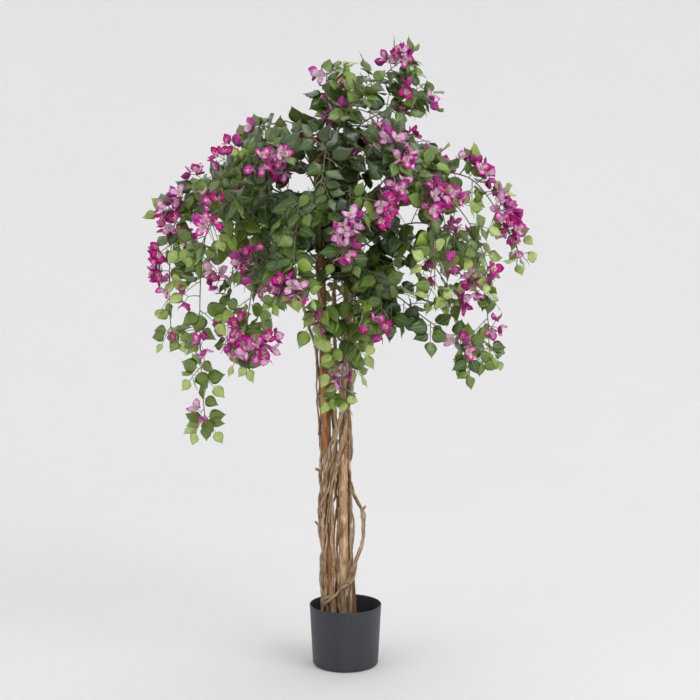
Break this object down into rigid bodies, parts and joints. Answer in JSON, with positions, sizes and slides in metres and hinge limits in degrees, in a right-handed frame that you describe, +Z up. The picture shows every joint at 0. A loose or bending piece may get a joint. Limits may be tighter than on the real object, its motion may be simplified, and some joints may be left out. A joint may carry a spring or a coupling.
{
  "type": "artificial bougainvillea tree in a pot",
  "caption": "Artificial flowering tree: twisted vines wound up wooden poles, an open crown of arching leafy sprays with magenta bracts, and a plain round pot filled with cement.",
  "frame": {"origin": "middle of the pot's flat underside, on the surface it stands on", "axes": "+Z up along the trunk, -Y towards the viewer, +X to the viewer's right"},
  "size_m": [0.9954, 0.7674, 1.5056],
  "materials": {
    "pot": "matt dark grey plastic",
    "fill": "rough cement",
    "pole": "dry bark",
    "vine": "dry fibrous bark",
    "foliage": "waxed cloth, satin"
  },
  "bodies": {
    "root": {"pot": "pot", "fill": "fill", "pole_left": "pole", "pole_right": "pole", "pole_back": "pole", "vine_left_bow": "vine", "vine_left_slim": "vine", "vine_left_high": "vine", "vine_right_bow": "vine", "vine_right_inner": "vine", "vine_front_cross": "vine", "vine_front_inner": "vine", "vine_back_wind": "vine", "vine_back_cross": "vine", "spray_top": "foliage", "spray_top_right": "foliage", "spray_top_left": "foliage", "spray_top_front": "foliage", "spray_top_back": "foliage", "spray_high_left": "foliage", "spray_high_left_front": "foliage", "spray_far_left": "foliage", "spray_low_left": "foliage", "spray_low_left_front": "foliage", "spray_mid_left": "foliage", "spray_front_left": "foliage", "spray_high_front": "foliage", "spray_front": "foliage", "spray_trunk": "foliage", "spray_low_front_right": "foliage", "spray_low_right": "foliage", "spray_hang_right": "foliage", "spray_far_right": "foliage", "spray_front_right": "foliage", "spray_mid_right": "foliage", "spray_high_right": "foliage", "spray_high_right_front": "foliage", "spray_crown_right": "foliage", "spray_crown_front": "foliage", "spray_crown_back": "foliage", "spray_under_left": "foliage", "spray_under_right": "foliage", "spray_back_left": "foliage", "spray_back_high_left": "foliage", "spray_back_high_right": "foliage", "spray_back": "foliage", "spray_back_right": "foliage", "spray_back_mid_left": "foliage", "spray_back_low_left": "foliage", "spray_back_low": "foliage", "spray_back_low_right": "foliage"}
  },
  "joints": []
}
